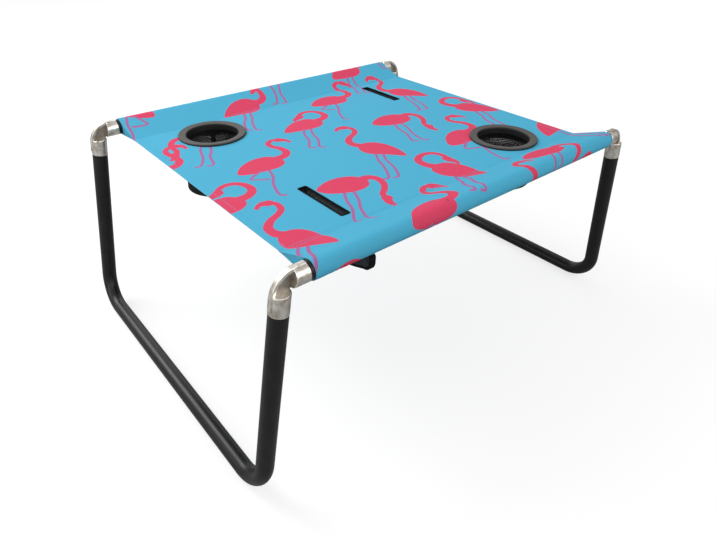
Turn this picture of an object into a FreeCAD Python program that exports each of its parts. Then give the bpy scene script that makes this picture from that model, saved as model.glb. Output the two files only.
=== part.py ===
"""Knock-down beach table: a fabric sling on two crossbars, cast elbows and two splayed U legs.

The frame stands on the ground plane Z = 0 with its centre over the origin. X runs along the
crossbars, Y runs from the front crossbar to the rear one, and Z points up.
"""
import FreeCAD
import Part
import math
import os

Vector = FreeCAD.Vector

# Frame tubes
tube_diameter = 22.0
tube_wall = 1.2
crossbar_height = 298.0
frame_depth = 504.0
top_span = 608.0
leg_splay = 10.0
leg_bend_radius = 45.0

# Cast elbows, measured from the corner where the tube axes meet
elbow_bend_radius = 20.0
collar_step = 0.2
crossbar_collar_end = 28.5
crossbar_collar_length = 17.5
leg_collar_end = 36.5
leg_collar_length = 24.6
collar_edge = 1.5
rim_chamfer = 0.6
rib_width = 6.6
rib_height = 1.0
rib_depth = 4.0
rib_edge = 1.0
rib_rim_setback = 1.0
rib_leg_stop = 6.0
web_thickness = 2.4
web_inset = 1.5
inner_corner_radius = 3.0
spigot_length = 34.0
spigot_root = 2.0
spigot_clearance = 0.3
spigot_tip = 1.5
spigot_core_diameter = 13.0
seat_gap = 0.2

# Fabric sling with a sewn sleeve along each crossbar
cloth_thickness = 0.9
cloth_drop = 5.5
sleeve_slack = 0.3
bare_tube = 4.0
end_panel_gap = 1.0
sleeve_stitch = 51.0
seam_allowance = 5.0
sewn_gap = 0.1

# Cup holders, set from the cloth's free edge: a flanged ring, its lock ring and a mesh bag
cup_edge_distance = 102.3
cup_seam_margin = 0.8
cup_bore_diameter = 78.0
cup_flange_diameter = 102.0
cup_flange_height = 3.4
cup_flange_edge = 1.8
cup_flange_dish = 0.7
cup_mouth_radius = 2.2
cup_neck_wall = 2.0
neck_clearance = 0.3
lock_ring_height = 3.5
lock_ring_width = 7.2
snap_bead = 0.8
bag_depth_left = 80.0
bag_depth_right = 62.0
bag_cloth = 0.9
bag_band_depth = 18.0
bag_band_thickness = 0.7
bag_tape_width = 7.0
bag_tape_thickness = 0.6
bag_tape_angle = 65.0

# Slots, set from the free edge and the sleeve seam, with a mesh pouch hanging under each
slot_edge_distance = 103.3
slot_seam_distance = 19.0
slot_length = 92.0
slot_width = 14.5
slot_corner_radius = 3.0
binding_width = 2.0
binding_thickness = 0.6
pouch_mouth_length = 104.0
pouch_length = 190.0
pouch_mouth_width = 15.0
pouch_body_width = 8.0
pouch_funnel_depth = 18.0
pouch_flare_depth = 32.0
pouch_side_depth = 54.5
pouch_depth = 69.5
pouch_corner_radius = 13.0
pouch_cloth = 0.9

# Values that follow from the driving dimensions
tube_radius = tube_diameter / 2
tube_bore_radius = tube_radius - tube_wall
half_span = top_span / 2
half_depth = frame_depth / 2
splay = math.radians(leg_splay)
leg_length = (crossbar_height - tube_radius) / math.cos(splay)
collar_radius = tube_radius + collar_step
crossbar_end = half_span - crossbar_collar_end - seat_gap
sleeve_end = crossbar_end - bare_tube
sleeve_radius = tube_radius + sleeve_slack
cloth_top = crossbar_height - cloth_drop + cloth_thickness / 2
cloth_bottom = cloth_top - cloth_thickness
cup_bore_radius = cup_bore_diameter / 2
neck_radius = cup_bore_radius + cup_neck_wall
lock_ring_bore = neck_radius + neck_clearance
lock_ring_radius = lock_ring_bore + lock_ring_width
lock_ring_top = cloth_bottom - bag_cloth
lock_ring_bottom = lock_ring_top - lock_ring_height
bag_radius = lock_ring_radius + sewn_gap + bag_cloth
band_radius = bag_radius + sewn_gap + bag_band_thickness
cup_x = sleeve_end - cup_edge_distance
cup_y = half_depth - sleeve_stitch - seam_allowance - cup_seam_margin - band_radius
slot_x = sleeve_end - slot_edge_distance
slot_y = half_depth - sleeve_stitch - slot_seam_distance - slot_length / 2
pouch_top = cloth_bottom - binding_thickness - sewn_gap

# Drawing aids: facets of a small rounding, the cosine of 45 degrees, points taken as one
rounding_steps = 5
half_right_angle = math.cos(math.radians(45))
tiny = 1e-6
same_point = 1e-7

# Left and right, front and rear, as signs on X and Y
sides = {"left": -1, "right": 1}
ends = {"front": -1, "rear": 1}


def polyline(points):
    """Line edges through the given points, skipping a point that repeats the one before it."""
    pairs = [(a, b) for a, b in zip(points, points[1:]) if a.distanceToPoint(b) > same_point]
    return [Part.LineSegment(a, b).toShape() for a, b in pairs]


def arc(start, middle, end):
    """Arc edge through three points."""
    return Part.Arc(start, middle, end).toShape()


def face_from(edges):
    """Plane face inside the closed loop of edges."""
    return Part.Face(Part.Wire(Part.__sortEdges__(edges)))


def revolve_profile(points, centre_x=0.0, centre_y=0.0, turn=360.0):
    """Solid of revolution about a vertical axis from (radius, height) points."""
    loop = [Vector(radius, 0, height) for radius, height in points]
    solid = face_from(polyline(loop + loop[:1])).revolve(Vector(0, 0, 0), Vector(0, 0, 1), turn)
    solid.translate(Vector(centre_x, centre_y, 0))
    return solid


def arc_points(centre, radius, start_angle, end_angle):
    """Points of a small rounding, as (radius, height) pairs for a revolved profile."""
    step = (end_angle - start_angle) / rounding_steps
    angles = [math.radians(start_angle + step * i) for i in range(rounding_steps + 1)]
    return [(centre[0] + radius * math.cos(a), centre[1] + radius * math.sin(a)) for a in angles]


def sweep_circle(edges, radius):
    """Round bar along a path of tangent edges."""
    path = Part.Wire(edges)
    first = path.Edges[0]
    start = first.valueAt(first.FirstParameter)
    ring = Part.Wire(Part.makeCircle(radius, start, first.tangentAt(first.FirstParameter)))
    return path.makePipeShell([ring], True, False)


def rounded_slab(length_x, length_y, corner, bottom, top, centre_x, centre_y):
    """Upright slab with rounded vertical edges, between two heights."""
    start = Vector(centre_x - length_x / 2, centre_y - length_y / 2, bottom)
    slab = Part.makeBox(length_x, length_y, top - bottom, start)
    upright = [edge for edge in slab.Edges if edge.BoundBox.ZLength > same_point]
    return slab.makeFillet(corner, upright)


def leg_point(side, y, along):
    """Point on the plane of a U leg, a distance along the upright from the corner."""
    x = side * (half_span + along * math.sin(splay))
    return Vector(x, y, crossbar_height - along * math.cos(splay))


def leg_tube(side):
    """Bent U tube: two uprights and the bar that rests on the ground."""
    top = leg_collar_end + seat_gap
    bend = leg_bend_radius
    bend_top = leg_length - bend
    inset = bend * (1 - half_right_angle)
    edges = polyline([leg_point(side, -half_depth, top), leg_point(side, -half_depth, bend_top)])
    edges.append(arc(leg_point(side, -half_depth, bend_top),
                     leg_point(side, -half_depth + inset, leg_length - inset),
                     leg_point(side, -half_depth + bend, leg_length)))
    edges += polyline([leg_point(side, -half_depth + bend, leg_length),
                       leg_point(side, half_depth - bend, leg_length)])
    edges.append(arc(leg_point(side, half_depth - bend, leg_length),
                     leg_point(side, half_depth - inset, leg_length - inset),
                     leg_point(side, half_depth, bend_top)))
    edges += polyline([leg_point(side, half_depth, bend_top), leg_point(side, half_depth, top)])
    return sweep_circle(edges, tube_radius).cut(sweep_circle(edges, tube_bore_radius))


def crossbar(end):
    """Straight tube between a pair of elbows, cut square."""
    start = Vector(-crossbar_end, end * half_depth, crossbar_height)
    along = Vector(1, 0, 0)
    outer = Part.makeCylinder(tube_radius, 2 * crossbar_end, start, along)
    return outer.cut(Part.makeCylinder(tube_bore_radius, 2 * crossbar_end, start, along))


def end_circle(solid, centre):
    """Round edge of a solid that is centred on a point."""
    return [edge for edge in solid.Edges if (edge.CenterOfMass - centre).Length < tiny]


def elbow_socket(rim, length, direction, end_normal):
    """Collar whose inner end is cut flat, with a soft edge, and the hollow spigot that enters the tube."""
    collar = Part.makeCylinder(collar_radius, rim, Vector(0, 0, 0), direction)
    collar = collar.makeChamfer(rim_chamfer, end_circle(collar, direction * rim))
    end_centre = direction * (rim - length)
    waste_size = 4 * collar_radius
    waste = Part.makeBox(waste_size, waste_size, waste_size, Vector(-waste_size / 2, -waste_size / 2, 0))
    waste.Placement = FreeCAD.Placement(end_centre, FreeCAD.Rotation(Vector(0, 0, 1), end_normal))
    collar = collar.cut(waste).Solids[0]
    end_edges = [edge for edge in collar.Edges
                 if all(abs((point - end_centre).dot(end_normal)) < tiny for point in edge.discretize(8))]
    collar = collar.makeFillet(collar_edge, end_edges).Solids[0]
    spigot = Part.makeCylinder(tube_bore_radius - spigot_clearance, spigot_root + spigot_length,
                               direction * (rim - spigot_root), direction)
    spigot = spigot.makeChamfer(spigot_tip, end_circle(spigot, direction * (rim + spigot_length)))
    core = Part.makeCylinder(spigot_core_diameter / 2, spigot_length, direction * rim, direction)
    return collar.fuse(spigot).cut(core).Solids[0]


def rib_section(base, outward):
    """Closed section of the rib, standing outward on its base point, with soft outer edges."""
    half = rib_width / 2
    inset = rib_edge * (1 - half_right_angle)

    def point(across, below_top):
        return base + Vector(0, across, 0) + outward * (rib_depth - below_top)

    edges = polyline([point(half - rib_edge, 0), point(rib_edge - half, 0)])
    for sign in (-1, 1):
        edges.append(arc(point(sign * (half - rib_edge), 0),
                         point(sign * (half - inset), inset),
                         point(sign * half, rib_edge)))
    edges += polyline([point(-half, rib_edge), point(-half, rib_depth),
                       point(half, rib_depth), point(half, rib_edge)])
    return Part.Wire(Part.__sortEdges__(edges))


def elbow_web():
    """Thin web between the collars of a left elbow, with a wider rib along its outer side and over both."""
    down = Vector(-math.sin(splay), 0, -math.cos(splay))
    outward = Vector(-math.cos(splay), 0, math.sin(splay))
    along = Vector(1, 0, 0)
    up = Vector(0, 0, 1)
    half_turn = math.radians(90 - leg_splay) / 2
    tangent = elbow_bend_radius * math.tan(half_turn)
    bend_centre = along * tangent - up * elbow_bend_radius
    rib_base = collar_radius + rib_height - rib_depth
    inner = collar_radius - web_inset
    crossbar_stop = crossbar_collar_end - rib_rim_setback
    leg_stop = leg_collar_end - rib_leg_stop
    corner_out = (up + outward).normalize()
    corner_in = (along + down).normalize()

    def outer_side(radius):
        """Edges of the elbow's outer side, at a distance from the tube axes."""
        bend_start = along * tangent + up * radius
        bend_middle = bend_centre + corner_out * (elbow_bend_radius + radius)
        bend_end = down * tangent + outward * radius
        edges = polyline([along * crossbar_stop + up * radius, bend_start])
        edges.append(arc(bend_start, bend_middle, bend_end))
        return edges + polyline([bend_end, down * leg_stop + outward * radius])

    # The inner lines of the two arms meet at the armpit, which is rounded
    gap_half = math.radians(90 + leg_splay) / 2
    armpit = corner_in * (inner / math.sin(gap_half))
    armpit_run = inner_corner_radius / math.tan(gap_half)
    armpit_middle = armpit + corner_in * (inner_corner_radius / math.sin(gap_half) - inner_corner_radius)

    web_outer = rib_base + rib_depth / 2
    leg_inner = down * leg_stop - outward * inner
    crossbar_inner = along * crossbar_stop - up * inner
    edges = outer_side(web_outer)
    edges += polyline([down * leg_stop + outward * web_outer, leg_inner, armpit + down * armpit_run])
    edges.append(arc(armpit + down * armpit_run, armpit_middle, armpit + along * armpit_run))
    edges += polyline([armpit + along * armpit_run, crossbar_inner, along * crossbar_stop + up * web_outer])
    web = face_from(edges).extrude(Vector(0, web_thickness, 0))
    web.translate(Vector(0, -web_thickness / 2, 0))
    section = rib_section(along * crossbar_stop + up * rib_base, up)
    rib = Part.Wire(outer_side(rib_base)).makePipeShell([section], True, False)
    return web.fuse(rib)


def elbow(side, end):
    """Cast corner that joins a crossbar to an upright of a U leg."""
    along = Vector(1, 0, 0)
    down = Vector(-math.sin(splay), 0, -math.cos(splay))
    outward = Vector(-math.cos(splay), 0, math.sin(splay))
    # Each collar's inner end is parallel to the other arm
    crossbar_arm = elbow_socket(crossbar_collar_end, crossbar_collar_length, along, outward)
    leg_arm = elbow_socket(leg_collar_end, leg_collar_length, down, Vector(0, 0, 1))
    solid = elbow_web().fuse([crossbar_arm, leg_arm]).removeSplitter()
    if side > 0:
        solid = solid.mirror(Vector(0, 0, 0), Vector(1, 0, 0))
    solid.translate(Vector(side * half_span, end * half_depth, crossbar_height))
    return solid


def tangent_on_circle(point, centre, radius, side):
    """Point where a line from the given point touches a circle in the YZ plane, above or below it."""
    offset = point - centre
    distance = offset.Length
    towards = math.atan2(offset.z, offset.y)
    swing = math.acos(radius / distance)
    turn = -side if offset.y < 0 else side
    angle = towards + turn * swing
    return centre + Vector(0, radius * math.cos(angle), radius * math.sin(angle))


def sleeve_loop(end, upper_start, lower_start, radius):
    """Edges of one face of a sleeve: flat plies and the wrap round the crossbar."""
    centre = Vector(-sleeve_end, end * half_depth, crossbar_height)
    upper = tangent_on_circle(upper_start, centre, radius, 1)
    lower = tangent_on_circle(lower_start, centre, radius, -1)
    far = centre + Vector(0, end * radius, 0)
    return polyline([upper_start, upper]) + [arc(upper, far, lower)] + polyline([lower, lower_start])


def sling_body():
    """Stretched cloth, without its holes, with sleeves that are closed at their ends beside the tube."""
    outline = []
    sleeves = []
    end_panels = []
    stitch = half_depth - sleeve_stitch
    seam_inner = stitch - seam_allowance
    under = cloth_bottom - cloth_thickness

    def point(y, z):
        return Vector(-sleeve_end, y, z)

    for end in ends.values():
        top_stitch = point(end * stitch, cloth_top)
        low_stitch = point(end * stitch, under)
        seam_edge = end * seam_inner
        outline += sleeve_loop(end, top_stitch, low_stitch, sleeve_radius + cloth_thickness)
        outline += polyline([low_stitch, point(seam_edge, under), point(seam_edge, cloth_bottom)])
        apex = point(end * stitch, cloth_bottom)
        sleeve = face_from(sleeve_loop(end, apex, apex, sleeve_radius))
        tube_centre = point(end * half_depth, crossbar_height)
        tube_room = Part.makeCircle(sleeve_radius + end_panel_gap, tube_centre, Vector(1, 0, 0))
        end_panels.append(sleeve.cut(Part.Face(Part.Wire(tube_room))))
        sleeves.append(sleeve)
    outline += polyline([point(-stitch, cloth_top), point(stitch, cloth_top)])
    outline += polyline([point(-seam_inner, cloth_bottom), point(seam_inner, cloth_bottom)])
    section = face_from(outline).cut(sleeves)
    panels = []
    for panel in end_panels:
        for start in (0, 2 * sleeve_end - cloth_thickness):
            panels.append(panel.extrude(Vector(cloth_thickness, 0, 0)).translated(Vector(start, 0, 0)))
    return section.extrude(Vector(2 * sleeve_end, 0, 0)).fuse(panels).removeSplitter()


def slot_slab(side, end, grow, bottom, top):
    """Slot outline, grown or shrunk all round, between two heights."""
    width = slot_width + 2 * grow
    length = slot_length + 2 * grow
    return rounded_slab(width, length, slot_corner_radius + grow, bottom, top, side * slot_x, end * slot_y)


def slot_cut_inset():
    """How far the cut in the cloth lies inside the binding's outer edge."""
    return binding_width - binding_thickness - sewn_gap


def sling_top():
    """The printed cloth with its two cup holes and two slots."""
    cloth = sling_body()
    low = cloth_bottom - cloth_thickness
    height = cloth_top - low + cloth_thickness
    hole_radius = neck_radius + neck_clearance
    for side in sides.values():
        cup_centre = Vector(side * cup_x, -side * cup_y, low)
        cloth = cloth.cut(Part.makeCylinder(hole_radius, height, cup_centre))
        cloth = cloth.cut(slot_slab(side, side, -slot_cut_inset(), low, low + height))
    return cloth


def cup_rim(side):
    """Flanged ring that sits on the cloth, with a neck and a snap bead below."""
    flange_radius = cup_flange_diameter / 2
    flange_top = cloth_top + cup_flange_height
    edge_centre = (flange_radius - cup_flange_edge, flange_top - cup_flange_edge)
    mouth_centre = (cup_bore_radius + cup_mouth_radius, flange_top - cup_flange_dish - cup_mouth_radius)
    neck_bottom = lock_ring_bottom - neck_clearance - 2 * snap_bead
    profile = [
        (cup_bore_radius, neck_bottom),
        (neck_radius, neck_bottom),
        (neck_radius + snap_bead, neck_bottom + snap_bead),
        (neck_radius, neck_bottom + 2 * snap_bead),
        (neck_radius, cloth_top),
        (flange_radius, cloth_top),
    ]
    profile += arc_points(edge_centre, cup_flange_edge, 0, 90)
    profile += arc_points(mouth_centre, cup_mouth_radius, 90, 180)
    return revolve_profile(profile, side * cup_x, -side * cup_y)


def cup_lock_ring(side):
    """Ring that snaps on the neck and clamps the cloth and the bag's hem."""
    lead = snap_bead
    profile = [
        (lock_ring_bore, lock_ring_top),
        (lock_ring_radius, lock_ring_top),
        (lock_ring_radius, lock_ring_bottom + lead),
        (lock_ring_radius - lead, lock_ring_bottom),
        (lock_ring_bore, lock_ring_bottom),
    ]
    return revolve_profile(profile, side * cup_x, -side * cup_y)


def bag_floor(side):
    """Height of a bag's floor: the right bag hangs bunched up, so it is the shallower one."""
    return cloth_bottom - (bag_depth_left if side < 0 else bag_depth_right)


def cup_bag_wall(side):
    """Mesh wall of the cup bag, with the hem turned in over the lock ring."""
    inner = bag_radius - bag_cloth
    floor = bag_floor(side)
    profile = [
        (lock_ring_bore, cloth_bottom),
        (bag_radius, cloth_bottom),
        (bag_radius, floor),
        (inner, floor),
        (inner, lock_ring_top),
        (lock_ring_bore, lock_ring_top),
    ]
    return revolve_profile(profile, side * cup_x, -side * cup_y)


def cup_bag_base(side):
    """Round mesh floor of the cup bag."""
    centre = Vector(side * cup_x, -side * cup_y, bag_floor(side) - bag_cloth)
    return Part.makeCylinder(bag_radius, bag_cloth, centre)


def cup_bag_band(side):
    """Woven band sewn round the top of the bag."""
    inner = bag_radius + sewn_gap
    top = cloth_bottom - sewn_gap
    profile = [
        (inner, top),
        (band_radius, top),
        (band_radius, top - bag_band_depth),
        (inner, top - bag_band_depth),
    ]
    return revolve_profile(profile, side * cup_x, -side * cup_y)


def cup_bag_tape(side):
    """Upright tape over the wall's seam; the right bag is the left one turned half round."""
    inner = bag_radius + sewn_gap
    outer = inner + bag_tape_thickness
    bottom = bag_floor(side) - bag_cloth
    top = cloth_bottom - 2 * sewn_gap - bag_band_depth
    seam_angle = bag_tape_angle if side < 0 else bag_tape_angle + 180
    profile = [
        (inner, bottom),
        (outer, bottom),
        (outer, top),
        (inner, top),
    ]
    width_angle = math.degrees(bag_tape_width / outer)
    tape = revolve_profile(profile, turn=width_angle)
    tape.rotate(Vector(0, 0, 0), Vector(0, 0, 1), seam_angle - width_angle / 2)
    tape.translate(Vector(side * cup_x, -side * cup_y, 0))
    return tape


def slot_binding(side):
    """Tape folded round the edge of a slot, above and below the cloth."""
    top = cloth_top + binding_thickness
    bottom = cloth_bottom - binding_thickness
    solid = slot_slab(side, side, 0, bottom, top)
    cloth_room = slot_slab(side, side, binding_width, cloth_bottom, cloth_top)
    fold = slot_slab(side, side, -slot_cut_inset() - sewn_gap, cloth_bottom, cloth_top)
    cloth_room = cloth_room.cut(fold)
    opening = slot_slab(side, side, -binding_width, bottom, top)
    return solid.cut([cloth_room, opening])


def pouch_solid(inset, rise):
    """Flat pocket bag with a funnel mouth, drawn in by an inset, its mouth raised to cut through."""
    mouth = pouch_mouth_length / 2 - inset
    half = pouch_length / 2 - inset
    flare = pouch_top - pouch_flare_depth
    corner = pouch_corner_radius - inset
    corner_z = pouch_top - pouch_side_depth + pouch_corner_radius
    diagonal = corner * half_right_angle
    middle = Vector(0, 0, pouch_top - pouch_depth + inset)
    turns = {}
    for sign in ends.values():
        centre = Vector(0, sign * (half - corner), corner_z)
        turns[sign] = (centre + Vector(0, sign * corner, 0),
                       centre + Vector(0, sign * diagonal, -diagonal),
                       centre + Vector(0, 0, -corner))
    rim = pouch_top + rise
    edges = polyline([Vector(0, -mouth, rim), Vector(0, mouth, rim), Vector(0, mouth, pouch_top)])
    edges += polyline([Vector(0, mouth, pouch_top), Vector(0, half, flare), turns[1][0]])
    edges.append(arc(*turns[1]))
    edges.append(arc(turns[1][2], middle, turns[-1][2]))
    edges.append(arc(*reversed(turns[-1])))
    edges += polyline([turns[-1][0], Vector(0, -half, flare)])
    edges += polyline([Vector(0, -half, flare), Vector(0, -mouth, pouch_top), Vector(0, -mouth, rim)])
    wide = pouch_mouth_width / 2 - inset
    slim = pouch_body_width / 2 - inset
    panel = face_from(edges).extrude(Vector(2 * wide, 0, 0)).translated(Vector(-wide, 0, 0))
    funnel = pouch_top - pouch_funnel_depth
    low = pouch_top - pouch_depth
    right_side = [(wide, rim), (wide, pouch_top), (slim, funnel), (slim, low)]
    section = right_side + [(-x, z) for x, z in reversed(right_side)]
    loop = [Vector(x, -half, z) for x, z in section]
    return panel.common(face_from(polyline(loop + loop[:1])).extrude(Vector(0, 2 * half, 0)))


def pocket(side):
    """Open-topped mesh pouch sewn to the underside of a slot's binding."""
    pouch = pouch_solid(0, 0).cut(pouch_solid(pouch_cloth, pouch_cloth))
    pouch.translate(Vector(side * slot_x, side * slot_y, 0))
    return pouch


def build_parts():
    """Every piece of the table, by node name."""
    shapes = {"sling_top": sling_top()}
    for end_name, end in ends.items():
        shapes["crossbar_" + end_name] = crossbar(end)
        shapes["slot_binding_" + end_name] = slot_binding(end)
        shapes["pocket_" + end_name] = pocket(end)
    for side_name, side in sides.items():
        shapes["leg_" + side_name] = leg_tube(side)
        shapes["cup_rim_" + side_name] = cup_rim(side)
        shapes["cup_lock_ring_" + side_name] = cup_lock_ring(side)
        shapes["cup_bag_wall_" + side_name] = cup_bag_wall(side)
        shapes["cup_bag_base_" + side_name] = cup_bag_base(side)
        shapes["cup_bag_band_" + side_name] = cup_bag_band(side)
        shapes["cup_bag_tape_" + side_name] = cup_bag_tape(side)
        for end_name, end in ends.items():
            shapes["elbow_" + end_name + "_" + side_name] = elbow(side, end)
    return shapes


def main():
    os.makedirs("parts", exist_ok=True)
    for name, shape in build_parts().items():
        shape.exportStep("parts/" + name + ".step")
        print(name, "solids", len(shape.Solids), "volume", round(shape.Volume, 1), "valid", shape.isValid())


main()
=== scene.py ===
"""Beach table in its studio: a printed sling on a black tube frame, with cast elbows and mesh holders."""
import math
import random

import bpy
from mathutils import Matrix, Vector
from mathutils.geometry import delaunay_2d_cdt


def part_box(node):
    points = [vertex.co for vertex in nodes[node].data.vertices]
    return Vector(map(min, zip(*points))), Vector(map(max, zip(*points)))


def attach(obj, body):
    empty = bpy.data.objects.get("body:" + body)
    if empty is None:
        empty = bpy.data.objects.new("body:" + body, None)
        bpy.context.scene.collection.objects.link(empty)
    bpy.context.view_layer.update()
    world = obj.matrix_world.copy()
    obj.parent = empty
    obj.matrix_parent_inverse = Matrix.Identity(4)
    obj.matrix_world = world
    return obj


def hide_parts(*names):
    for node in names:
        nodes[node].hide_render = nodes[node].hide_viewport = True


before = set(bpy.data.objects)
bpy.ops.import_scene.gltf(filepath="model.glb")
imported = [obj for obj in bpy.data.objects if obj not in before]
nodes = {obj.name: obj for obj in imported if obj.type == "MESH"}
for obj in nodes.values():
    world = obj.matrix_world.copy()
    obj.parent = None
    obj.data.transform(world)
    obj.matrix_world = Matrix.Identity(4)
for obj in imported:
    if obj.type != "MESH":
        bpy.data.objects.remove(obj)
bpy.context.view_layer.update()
scene = bpy.context.scene
MM = 0.001


def box(node):
    """Lowest and highest corner of a solid, in millimetres."""
    return [[value / MM for value in corner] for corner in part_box(node)]


def middle(node):
    """Middle of a solid's box, in millimetres."""
    return [(a + b) / 2 for a, b in zip(*box(node))]


# Sizes in millimetres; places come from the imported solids
cloth_thickness = 0.9
stitch_line = 201.0
seam_allowance = 5.0
web_half = 1.2
cloth_half_width = box("sling_top")[1][0]
bar_axis = middle("crossbar_rear")[1:]
half_depth, crossbar_height = bar_axis
sleeve_radius = box("sling_top")[1][1] - half_depth
cloth_top = middle("slot_binding_rear")[2] + cloth_thickness / 2
cloth_bottom = cloth_top - cloth_thickness
cup_centres = {side: middle("cup_rim_" + side)[:2] for side in ("left", "right")}
cup_hole_radius = 41.3
bag_radius, bag_cloth = 49.5, 0.9
band_gap, band_thickness, tape_thickness = 0.1, 0.7, 0.6
tape_width = 7.0
tape_angles = {"left": 65.0, "right": 245.0}
slot_centres = {end: middle("slot_binding_" + end)[:2] for end in ("front", "rear")}
slot_length, slot_width, slot_corner = 92.0, 14.5, 3.0
binding_width, binding_thickness, slot_cut_inset = 2.0, 0.6, 1.3
pouch_low, pouch_high = box("pocket_front")
pouch_top = pouch_high[2]
pouch_depth = pouch_top - pouch_low[2]
pouch_half = (pouch_high[1] - pouch_low[1]) / 2
pouch_mouth_half, pouch_flare, pouch_side, pouch_corner = 52.0, 32.0, 54.5, 13.0
pouch_mouth_width, pouch_body_width, pouch_funnel = 15.0, 8.0, 18.0
bag_pitch, pouch_pitch = 2.8, 3.4
knit_thickness, bag_hole, pouch_hole = 0.7, 0.25, 0.32
round_segments = 96
flat_step, round_step, seam_step = 7.0, 2.0, 2.5  # between points of the sling's mesh
smooth_below = 40  # degrees between faces that are shaded as one


# Small helpers

def linear(hex_colour):
    """sRGB hex to the linear colour that shaders use."""
    channels = [int(hex_colour[i:i + 2], 16) / 255 for i in (1, 3, 5)]
    return [c / 12.92 if c <= 0.04045 else ((c + 0.055) / 1.055) ** 2.4 for c in channels] + [1.0]


def feed(node, inputs):
    """Sets a node's inputs: a plain value is set, and a socket, or a node's first output, is linked."""
    for name, source in inputs.items():
        if isinstance(source, bpy.types.Node):
            source = source.outputs[0]
        if isinstance(source, bpy.types.NodeSocket):
            node.id_data.links.new(source, node.inputs[name])
        else:
            node.inputs[name].default_value = source


def node_adder(tree):
    """Gives the function that adds one node to a tree, with its settings, values and links."""
    def add(kind, inputs=None, **settings):
        node = tree.nodes.new(kind)
        for name, value in settings.items():
            setattr(node, name, value)
        feed(node, inputs or {})
        return node
    return add


def set_ramp(ramp, *stops, steps=False):
    """Gives a colour ramp its stops, as (position, hex) pairs, blended or in flat steps."""
    if steps:
        ramp.color_ramp.interpolation = "CONSTANT"
    elements = ramp.color_ramp.elements
    while len(elements) < len(stops):
        elements.new(1.0)
    for element, (position, colour) in zip(elements, stops):
        element.position = position
        element.color = linear(colour)
    return ramp


def new_material(name, **shader):
    """Material with one Principled shader and its plain sockets set; gives it, its node adder and its shader."""
    material = bpy.data.materials.new(name)
    material.use_nodes = True
    principled = material.node_tree.nodes["Principled BSDF"]
    feed(principled, {socket.replace("_", " "): value for socket, value in shader.items()})
    return material, node_adder(material.node_tree), principled


def new_piece(name, points, faces, material, uvs=None, crease=smooth_below):
    """Mesh object in the part's frame, from points in millimetres, smooth except at creases."""
    mesh = bpy.data.meshes.new(name)
    mesh.from_pydata([(x * MM, y * MM, z * MM) for x, y, z in points], [], faces)
    mesh.materials.append(material)
    mesh.shade_smooth()
    mesh.set_sharp_from_angle(angle=math.radians(crease))
    if uvs:
        layer = mesh.uv_layers.new(name="UVMap")
        for loop in mesh.loops:
            layer.data[loop.index].uv = uvs[loop.vertex_index]
    piece = bpy.data.objects.new(name, mesh)
    scene.collection.objects.link(piece)
    return piece


def skin(name, rings, material, uvs, closed=False, flip=False, crease=smooth_below):
    """Closed piece through a row of equal rings of points, joined end to end or with both ends filled."""
    count, total = len(rings[0]), len(rings)
    faces = []
    for row in range(total if closed else total - 1):
        here, there = row * count, (row + 1) % total * count
        for i in range(count):
            after = (i + 1) % count
            faces.append([here + i, here + after, there + after, there + i])
    if not closed:
        faces += [list(reversed(range(count))), [(total - 1) * count + i for i in range(count)]]
    if flip:
        faces = [face[::-1] for face in faces]
    return new_piece(name, [point for ring in rings for point in ring], faces, material, uvs, crease)


def ride(piece, slot, *stands_for):
    """Fixes a piece to the tabletop and hides the solids that it stands for; its slot is not used."""
    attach(piece, "tabletop")
    if stands_for:
        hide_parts(*stands_for)
    return piece


def smooth_line(points, steps, closed=False):
    """Points on a smooth curve through the given ones."""
    count = len(points)
    made = []
    for i in range(count if closed else count - 1):
        near = [i + k for k in (-1, 0, 1, 2)]
        a, b, c, d = (points[k % count if closed else min(max(k, 0), count - 1)] for k in near)
        for step in range(steps):
            t = step / steps
            made.append(tuple(q + ((r - p) * t + (2 * p - 5 * q + 4 * r - s) * t ** 2
                                   + (3 * q - p - 3 * r + s) * t ** 3) / 2 for p, q, r, s in zip(a, b, c, d)))
    if not closed:
        made.append(tuple(points[-1]))
    return made


def even_steps(start, end, longest):
    """Evenly spaced values from start to end, no further apart than the longest step."""
    count = max(1, math.ceil((end - start) / longest))
    return [start + (end - start) * i / count for i in range(count + 1)]


def between(start, end, share):
    """Point a share of the way from one point to another."""
    return [a + (b - a) * share for a, b in zip(start, end)]


def polar(centre, radius, angle, *height):
    """Point at a radius and angle from a centre, and at a height where one is given."""
    return (centre[0] + radius * math.cos(angle), centre[1] + radius * math.sin(angle), *height)


def circle(centre, radius, count):
    """Points of a circle, in the plane of the cloth."""
    return [polar(centre, radius, math.tau * i / count) for i in range(count)]


def left_of(line):
    """Unit direction to the left of an open line, at each of its points."""
    ends = [line[0], *line, line[-1]]
    made = []
    for before, after in zip(ends, ends[2:]):
        length = math.dist(before, after)
        made.append(((before[1] - after[1]) / length, (after[0] - before[0]) / length))
    return made


def run_along(line):
    """Distance from the start of a line to each of its points."""
    runs = [0.0]
    for a, b in zip(line, line[1:]):
        runs.append(runs[-1] + math.dist(a, b))
    return runs


# Finishes

def relief(add, place, size, detail, strength, depth, **over):
    """Bump of a random grain, its size and depth in millimetres, over another bump where one is given."""
    grain = add("ShaderNodeTexNoise", {"Scale": 1 / (size * MM), "Detail": detail, "Vector": place})
    return add("ShaderNodeBump", {"Strength": strength, "Distance": depth * MM, "Height": grain, **over})


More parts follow.
